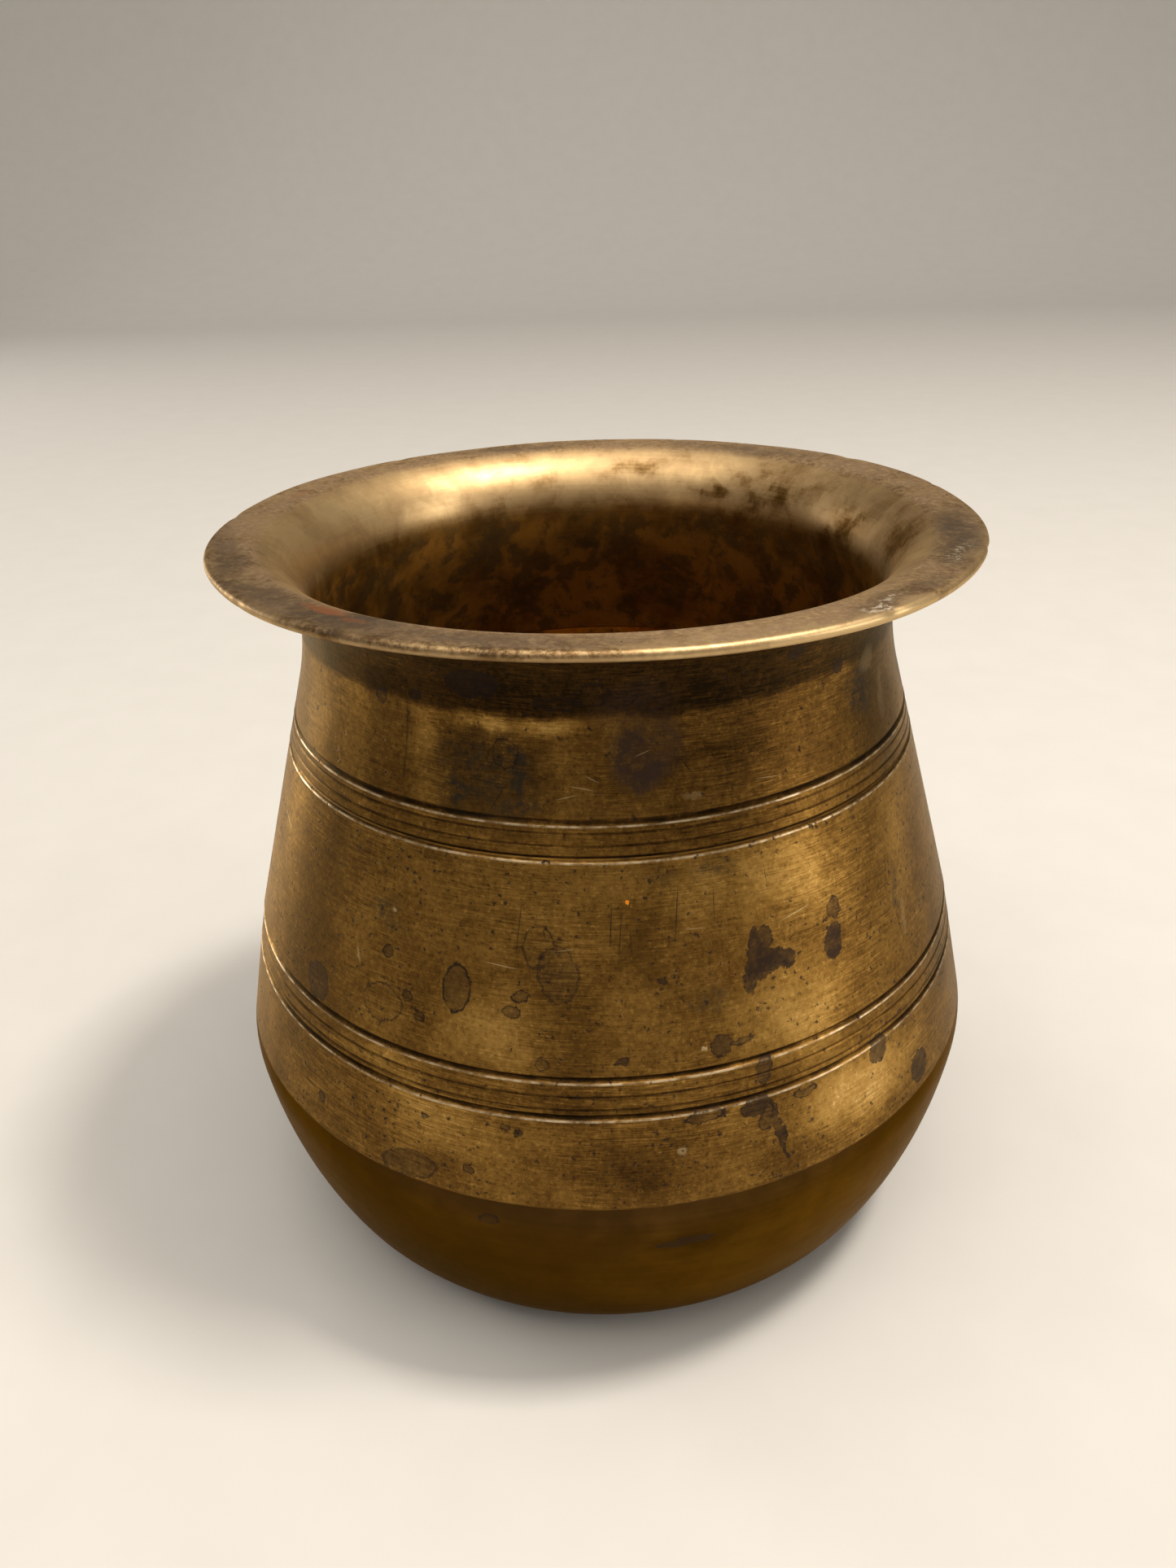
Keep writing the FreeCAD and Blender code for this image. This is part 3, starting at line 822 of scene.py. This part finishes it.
WALL_PALE_SCRATCHES = (
    (-14.8, 77.6, 2.1, 0.07, 6, 0.55), (-5.5, 80.4, 1.2, 0.06, -8, 0.4), (12.8, 82.4, 1.4, 0.06, 4, 0.4),
    (29, 81, 2.4, 0.08, -10, 0.5), (-66, 84, 3.0, 0.09, 12, 0.6), (98, 72, 4.0, 0.09, -20, 0.6),
    (-160, 62, 4.5, 0.09, 15, 0.6), (160, 86, 3.0, 0.09, -12, 0.6),
)
ORANGE_SPECK = ((3.0, 87.1, 0.42, 0.32, 0, 1.0),)


def tinted(b, soot=(), purple=(), pale=(), umber=(), rings=(), faint_rings=()):
    """Colours a wall by its tone, and lays its marks over it, the broad and faint ones first."""
    g = b.g
    b.tint = g.ramp(b.tone, TONES)
    # Pale colour along the burr of the deep lines: rubbed metal, and a painted highlight where the burr
    # catches the light.
    if b.burr is not None:
        b.tint = g.mix(g.times(b.burr, 0.75), b.tint, RUBBED_AND_GLINT)
    if purple:
        streaky = g.smooth(g.noise(b.loose, 2.4, 5.0, 0.75), 0.36, 0.56, 0.35, 1.0)
        b.cover(g.times(marks(g, b.loose, purple, 0.40), streaky), PURPLE)
    if soot:
        speckle = g.smooth(g.noise(b.point, 1.5, 4.0, 0.75), 0.42, 0.58)
        b.cover(g.times(marks(g, b.loose, soot, 0.55), g.total(0.20, (0.80, speckle))), SOOT)
    broken = g.smooth(g.noise(b.point, 2.6, 2.0), 0.30, 0.48, 0.35, 1.0)
    if faint_rings:
        b.cover(g.times(marks(g, b.shaken, faint_rings, 0.15, 0.24, 0.70), broken), UMBER)
    if rings:
        b.cover(g.times(marks(g, b.steady, rings, 0.10, 0.24, 0.95), broken), UMBER)
    if umber:
        inner = g.smooth(g.noise(b.point, 1.6, 3.0, 0.6), 0.30, 0.62, 0.72, 1.0)
        b.cover(g.times(marks(g, b.shaken, umber, 0.13, 0.20, 0.95), inner), UMBER)
    if pale:
        b.cover(marks(g, b.shaken, pale, 0.4), PALE)


def neck_outside():
    b = Brass("neck_outside")
    g = b.g
    tone = brushed_tone(b, 0.44)
    # Painted shade under the lip, standing in for the lip's shadow: a darker band down to an uneven edge.
    wander = g.math("MULTIPLY_ADD", g.noise(b.point, 9.0, 3.0), 3.0, b.height)
    tone = g.math("SUBTRACT", tone, g.smooth(wander, 112.9, 114.6, 0.0, 0.31))
    # The bright patches laid into the neck's tone are painted light and painted reflections.
    set_tone(b, line_tone(b, tone), NECK_PAINTED_LIGHT, NECK_DIM, 0.7)
    tinted(b, soot=NECK_SOOT, purple=NECK_PURPLE, pale=NECK_PALE, umber=NECK_UMBER, faint_rings=NECK_RINGS)
    pits = b.pits(2.1, 0.40, 0.6)
    b.cover(pits, UMBER, 0.8)
    scratches = scratched(b, NECK_SCRATCHES, NECK_PALE_SCRATCHES)
    relief = g.total(brush_relief(b), (-0.04, pits), scratches)
    return b.finish(0.42, 0.16, relief, WARM_EDGE, 0.68)


def wall_outside():
    b = Brass("wall_outside")
    g = b.g
    set_tone(b, line_tone(b, brushed_tone(b, 0.47)), WALL_GOLD, WALL_DIM, 0.75)
    tinted(b, soot=WALL_SOOT, pale=WALL_PALE, umber=WALL_UMBER,
           rings=WALL_RINGS, faint_rings=WALL_FAINT_RINGS)
    many = g.smooth(g.noise(b.point, 13.0, 2.0), 0.40, 0.62, 0.15, 1.0)
    pits = b.pits(1.4, 0.42, 0.95, many)
    b.cover(pits, UMBER, 0.85)
    scratches = scratched(b, WALL_SCRATCHES, WALL_PALE_SCRATCHES)
    b.cover(marks(g, b.shaken, ORANGE_SPECK, 0.3), ORANGE)
    relief = g.total(brush_relief(b), (-0.03, pits), scratches)
    return b.finish(0.42, 0.16, relief, WARM_EDGE, 0.60)


BOTTOM_GOLD = ((30, 30, 16.0, 9.0, 0, 0.08), (-60, 34, 14.0, 8.0, 0, 0.06), (120, 26, 18.0, 10.0, 0, 0.1))
BOTTOM_DIM = ((10, 33, 6.0, 1.8, -6, 0.12), (-24, 24, 16.0, 10.0, 0, 0.06), (-140, 28, 20.0, 8.0, 0, 0.08))
BOTTOM_UMBER = (
    (9.5, 33.0, 4.0, 0.8, -4, 0.5), (-16, 37.6, 1.6, 1.0, 0, 0.3), (58, 30, 2.0, 1.4, 0, 0.4),
    (150, 34, 3.0, 2.0, 0, 0.5), (-110, 32, 2.6, 1.8, 0, 0.5),
)
FOOT_RING_RADIUS = 43.4


def bottom_outside():
    b = Brass("bottom_outside")
    g = b.g
    b.fine = b.strokes(20.0, 0.5)
    b.mid = b.strokes(30.0, 1.3, 2.0)
    cloud = g.noise(b.point, 22.0, 4.0, 0.5, 0.3)
    tone = g.total(0.22 - 0.25, (0.24, cloud), (0.10, b.mid), (0.16, g.noise(b.loose, 5.0, 4.0)))
    set_tone(b, tone, BOTTOM_GOLD, BOTTOM_DIM, 0.8)
    tinted(b, umber=BOTTOM_UMBER)
    pits = b.pits(3.2, 0.26, 0.45)
    b.cover(pits, UMBER, 0.6)
    # The resting ring is rubbed brighter, and the hollow inside it shows its turning.
    under = g.smooth(b.height, 0.05, 1.2, 1.0, 0.0)
    ring = g.smooth(g.gap(b.radius, FOOT_RING_RADIUS), 1.0, 4.2, 1.0, 0.0)
    uneven = g.smooth(g.noise(b.loose, 7.0, 5.0, 0.7), 0.2, 0.85)
    b.tint = g.mix(g.times(ring, under, uneven, 0.6), b.tint, FOOT_WORN)
    turning = b.strokes(26.0, 0.5, across=b.radius)
    relief = g.total(brush_relief(b, 0.003), (-0.02, pits), (0.012, g.times(turning, under)))
    return b.finish(0.40, 0.12, relief, DARK_EDGE, 0.2)


# Marks on the lip: angle, distance from the axis, half width, half depth, tilt, amount.
# Painted highlights along the lip, strongest on the outer edge at the right front, where the key lamp catches
# it.
LIP_PAINTED_HIGHLIGHTS = (
    (34, 61.5, 22.0, 1.3, 0, 0.36), (-46, 60.4, 5.0, 1.4, 0, 0.3), (14, 60.0, 15.0, 2.6, 0, 0.2),
    (72, 60.5, 7.0, 1.6, 0, 0.42), (58, 61.4, 9.0, 0.9, 0, 0.3), (-130, 60.6, 12.0, 1.4, 0, 0.22),
    (130, 60.8, 9.0, 1.4, 0, 0.22),
)
LIP_DIM = (
    (-44, 58.8, 24.0, 3.6, 0, 0.18), (-14, 59.2, 16.0, 2.6, 0, 0.16), (-34, 58.0, 9.0, 2.6, 0, 0.34),
    (-72, 58.5, 16.0, 2.6, 0, 0.16), (74, 57.4, 13.0, 3.0, 0, 0.26), (44, 58.0, 9.0, 2.0, 0, 0.16),
    (2, 57.5, 6.0, 1.6, 0, 0.1), (150, 57.5, 14.0, 2.6, 0, 0.12), (-165, 58.5, 14.0, 2.4, 0, 0.14),
)
LIP_COPPER = (
    (-39.5, 56.3, 4.0, 1.1, 0, 0.85), (-33, 57.3, 2.2, 0.8, 0, 0.45), (-112, 57.0, 3.0, 0.8, 0, 0.4),
)
LIP_PALE = ((37.4, 59.6, 2.4, 1.3, 0, 0.75), (41, 58.6, 2.2, 0.7, 0, 0.5), (66, 58.4, 5.0, 1.2, 0, 0.35))
# Marks on the flare: angle, height, half width, half height, tilt, amount.
# Painted reflections on the flare: a bright patch on the left, which faces the lamps on the right, and a
# faint one at the back left.
FLARE_PAINTED_REFLECTIONS = ((-98, 120.5, 20.0, 5.0, 0, 0.26), (-140, 121.5, 12.0, 4.0, 0, 0.08))
FLARE_DIM = (
    (135, 121.5, 11.0, 4.0, 0, 0.22), (112, 121.0, 8.0, 4.0, 0, 0.2),
    (170, 122.8, 4.0, 1.8, 0, 0.3), (152, 119.9, 5.0, 2.0, 0, 0.28), (107, 120.4, 6.0, 2.6, 0, 0.34),
    (128, 123.0, 4.0, 2.0, 0, 0.16), (-110, 120.5, 5.0, 2.4, 0, 0.14), (-160, 119.5, 4.0, 1.6, 0, 0.12),
    (84, 121.5, 10.0, 4.0, 0, 0.24), (-70, 121.0, 6.0, 2.0, 0, 0.12),
)


def mouth_inside():
    """Lip, flare and the inside of the neck: worn bright on the flare, with painted light there too, patchy
    on the lip, dark below.
    """
    b = Brass("mouth_inside")
    g = b.g
    across = g.math("ADD", b.height, b.radius)
    b.fine = b.strokes(12.0, 0.25, across=across)
    b.mid = b.strokes(22.0, 0.7, across=across)
    cloud = g.noise(b.point, 16.0, 4.0, 0.6, 0.4)
    patch = g.noise(b.loose, 5.0, 4.0, 0.65)
    grain = g.noise(b.point, 0.9, 3.0, 0.65)
    blotch = g.smooth(g.noise(b.loose, 7.0, 4.0, 0.65), 0.36, 0.64)
    flare = g.smooth(b.height, 113.5, 118.5)
    lip = g.smooth(b.height, HEIGHT - 1.2, HEIGHT - 0.4)
    deep = g.smooth(b.height, 118.0, 112.0)

    speck = g.times(g.smooth(grain, 0.46, 0.60, -0.5, 0.5), lip)
    # The flare's tone is raised, partly for worn metal and partly as painted light where the flare faces up
    # to the lamps.
    tone = g.total(0.42 - 0.68, (0.44, cloud), (0.44, patch), (0.22, blotch), (0.14, b.fine), (0.14, b.mid),
                   (0.26, flare), (-0.12, lip), (0.10, g.times(grain, flare)), (0.22, speck))
    dull = marks(g, b.loose, LIP_DIM, 0.7, flat=True)
    # Painted highlights on the lip raise its tone.
    tone = g.math("ADD", tone, marks(g, b.loose, LIP_PAINTED_HIGHLIGHTS, 0.7, flat=True))
    tone = g.math("SUBTRACT", tone, dull)
    # The flare's bright patches are painted reflections.
    set_tone(b, tone, FLARE_PAINTED_REFLECTIONS, FLARE_DIM, 0.7, FLARE_MARK_RADIUS)
    b.tint = g.ramp(b.tone, TONES)
    b.tint = g.mix(g.times(flare, g.smooth(b.tone, 0.30, 0.75), 0.60), b.tint, FLARE_WORN)

    b.cover(g.times(deep, g.smooth(cloud, 0.42, 0.60, 0.25, 0.80)), DEEP_BROWN)
    b.cover(g.times(deep, g.smooth(patch, 0.46, 0.60)), SOOT, 0.6)
    film = g.smooth(g.noise(b.loose, 9.0, 4.0, 0.7), 0.30, 0.66, 0.35, 0.85)
    b.cover(g.times(lip, film, g.smooth(b.radius, 60.2, 61.5, 1.0, 0.35)), PATINA)
    rubbed = g.smooth(g.noise(b.point, 1.0, 3.0, 0.7), 0.50, 0.64)
    b.cover(g.times(lip, rubbed, 0.45), LIP_RUBBED)
    stained = g.smooth(g.noise(b.loose, 3.0, 4.0, 0.7), 0.34, 0.62, 0.45, 1.0)
    b.cover(g.times(g.math("MULTIPLY", dull, 4.0, clamp=True), stained, lip), LIP_TARNISH)
    b.cover(marks(g, b.shaken, LIP_COPPER, 0.35, flat=True), COPPER, 0.6)
    b.cover(g.times(marks(g, b.loose, LIP_PALE, 0.6, flat=True), g.smooth(grain, 0.48, 0.62)), LIP_CHIP)
    pits = b.pits(1.9, 0.28, 0.6, lip)
    b.cover(pits, SOOT, 0.7)
    relief = g.total((0.004, b.fine), (0.008, b.mid), (0.04, g.noise(b.point, 7.0, 2.0)), (-0.03, pits),
                     (0.02, g.times(grain, lip)))
    return b.finish(0.50, 0.08, relief, WARM_EDGE, 0.3)


def pot_inside():
    """Inside of the wall and bottom: dark, blotchy and warm, with a pale tide line and a darker floor."""
    b = Brass("pot_inside")
    g = b.g
    across = g.math("ADD", b.height, b.radius)
    b.fine = b.strokes(20.0, 0.5, across=across)
    b.mid = b.strokes(30.0, 1.4, across=across)
    cloud = g.smooth(g.noise(b.point, 15.0, 4.0, 0.6, 0.6), 0.36, 0.62)
    patch = g.smooth(g.noise(b.loose, 4.5, 4.0, 0.65), 0.38, 0.60)
    sunk = g.smooth(b.height, 30.0, 3.0)
    b.tone = g.total(0.34, (0.44, cloud), (0.26, patch), (0.12, b.mid), (-0.40, sunk))
    b.tint = g.ramp(b.tone, INSIDE_TONES)
    b.cover(g.smooth(g.noise(b.loose, 8.0, 4.0), 0.50, 0.62), SOOT, 0.6)
    wander = g.math("MULTIPLY_ADD", g.noise(b.point, 12.0, 3.0), 5.0, 60.0)
    b.cover(g.smooth(g.gap(b.height, wander), 0.3, 1.1, 0.35, 0.0), PALE)
    pits = b.pits(2.2, 0.4, 0.6)
    b.cover(pits, SOOT, 0.7)
    relief = g.total((0.006, b.fine), (0.012, b.mid), (0.05, g.noise(b.point, 7.0, 2.0)), (-0.04, pits))
    return b.finish(0.46, 0.14, relief, WARM_EDGE, 0.2)


def braze_filler():
    b = Brass("braze_filler")
    g = b.g
    b.fine = b.strokes(14.0, 0.3)
    b.mid = b.strokes(20.0, 0.8)
    b.tone = g.total(0.42 - 0.40, (0.40, g.noise(b.point, 8.0, 4.0)), (0.2, b.fine), (0.2, b.mid))
    b.tint = g.ramp(b.tone, TONES)
    b.cover(g.smooth(g.noise(b.loose, 4.0, 3.0), 0.44, 0.62), UMBER, 0.6)
    relief = g.total((0.01, g.noise(b.point, 1.4, 3.0)), (0.006, b.mid))
    return b.finish(0.46, 0.12, relief, WARM_EDGE, 0.0)


# ---- assembly ----
MOUTH, DEEP, FILLED = mouth_inside(), pot_inside(), braze_filler()
PIECES = (
    (neck_and_rim(), "neck_and_rim", "neck_brass", (neck_outside(), MOUTH)),
    (body_wall(), "body_wall", "wall_brass", (wall_outside(), DEEP)),
    (bottom_bowl(), "bottom_bowl", "bottom_brass", (bottom_outside(), DEEP)),
    (braze_ring("upper_braze_run", UPPER_SEAM, -1.0), "upper_braze_ring", "braze_filler", (FILLED,)),
    (braze_ring("lower_braze_run", LOWER_SEAM, 1.0), "lower_braze_ring", "braze_filler", (FILLED,)),
)
for piece, node, slot, materials in PIECES:
    for material in materials:
        piece.data.materials.append(material)
    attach(piece, "root")
    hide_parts(node)


# ---- floor and backdrop: one pale sheet that curves up behind the pot ----
PAPER = ((0.46, 0.445, 0.42, 1.0), (0.50, 0.485, 0.46, 1.0))
BEND_STEPS = 16


def studio_sheet():
    half_width, front, near, back, bend, top = 3.0, -2.6, 0.6, 1.5, 0.6, 2.4
    path = [(front, 0.0), (-near, 0.0), (0.0, 0.0), (near, 0.0), (back, 0.0)]
    for step in range(1, BEND_STEPS + 1):
        turn = math.radians(90.0 * step / BEND_STEPS)
        path.append((back + bend * math.sin(turn), bend * (1.0 - math.cos(turn))))
    path.append((back + bend, top))
    verts = [(x, y, z) for y, z in path for x in (-half_width, half_width)]
    faces = [(2 * i, 2 * i + 1, 2 * i + 3, 2 * i + 2) for i in range(len(path) - 1)]
    mesh = bpy.data.meshes.new("studio_sheet")
    mesh.from_pydata(verts, [], faces)
    mesh.polygons.foreach_set("use_smooth", [True] * len(faces))
    material = bpy.data.materials.new("studio_paper")
    material.use_nodes = True
    g = Graph(material.node_tree)
    shader = material.node_tree.nodes["Principled BSDF"]
    grain = g.noise(g.make("ShaderNodeTexCoord", out=3), 0.02, 4.0)
    g.feed(shader.inputs["Base Color"], g.mix(grain, *PAPER))
    shader.inputs["Roughness"].default_value = 0.75
    mesh.materials.append(material)
    return add("studio_sheet", mesh)


studio_sheet()


# ---- light ----
POT_MIDDLE = Vector((0.0, 0.0, 0.07))
HORIZON = (0.11, 0.098, 0.085, 1.0)
ZENITH = (0.75, 0.70, 0.62, 1.0)


def lamp(name, azimuth, elevation, distance, size, power, colour):
    """Square area lamp aimed at the pot. Azimuth is in degrees from the front, positive to the right."""
    turn, rise = math.radians(azimuth), math.radians(elevation)
    direction = Vector((math.sin(turn) * math.cos(rise), -math.cos(turn) * math.cos(rise), math.sin(rise)))
    data = bpy.data.lights.new(name, "AREA")
    data.size = size
    data.energy = power
    data.color = colour
    lit = add(name, data)
    lit.location = POT_MIDDLE + direction * distance
    lit.rotation_euler = (-direction).to_track_quat("-Z", "Y").to_euler()


def studio_world():
    """Dim surroundings, paler overhead."""
    world = bpy.data.worlds.new("studio")
    world.use_nodes = True
    g = Graph(world.node_tree)
    up = g.make("ShaderNodeSeparateXYZ", {0: g.make("ShaderNodeTexCoord", out=0)}, out=2)
    sky = g.mix(g.smooth(up, 0.1, 0.9), HORIZON, ZENITH)
    g.feed(world.node_tree.nodes["Background"].inputs["Color"], sky)
    bpy.context.scene.world = world


lamp("key", 81.0, 68.0, 1.35, 0.22, 17.0, (1.0, 0.92, 0.82))
lamp("overhead", -30.0, 76.0, 1.5, 1.3, 16.5, (1.0, 0.94, 0.86))
lamp("right_window", 72.0, 16.0, 1.8, 0.7, 9.0, (1.0, 0.95, 0.88))
lamp("left_strip", -121.0, 6.0, 1.6, 0.30, 9.0, (1.0, 0.97, 0.94))
studio_world()
bpy.context.scene.view_settings.view_transform = "Standard"

# ---- camera: above the front of the pot, as in the photograph ----
PITCH = math.radians(27.52)
ROLL = math.radians(-1.70)
YAW = math.radians(-0.56)
CAMERA_PLACE = (-0.00043, -0.1916, 0.1767)


def photograph_camera():
    forward = Vector((math.sin(YAW) * math.cos(PITCH), math.cos(YAW) * math.cos(PITCH), -math.sin(PITCH)))
    level = Vector((math.cos(YAW), -math.sin(YAW), 0.0))
    above = level.cross(forward)
    right = math.cos(ROLL) * level + math.sin(ROLL) * above
    upward = -math.sin(ROLL) * level + math.cos(ROLL) * above
    data = bpy.data.cameras.new("camera")
    data.lens = 27.05
    data.sensor_width = 36.0
    data.clip_start = 0.01
    camera = add("camera", data)
    axes = Matrix((right, upward, -forward)).transposed().to_4x4()
    camera.matrix_world = Matrix.Translation(CAMERA_PLACE) @ axes
    bpy.context.scene.camera = camera


photograph_camera()
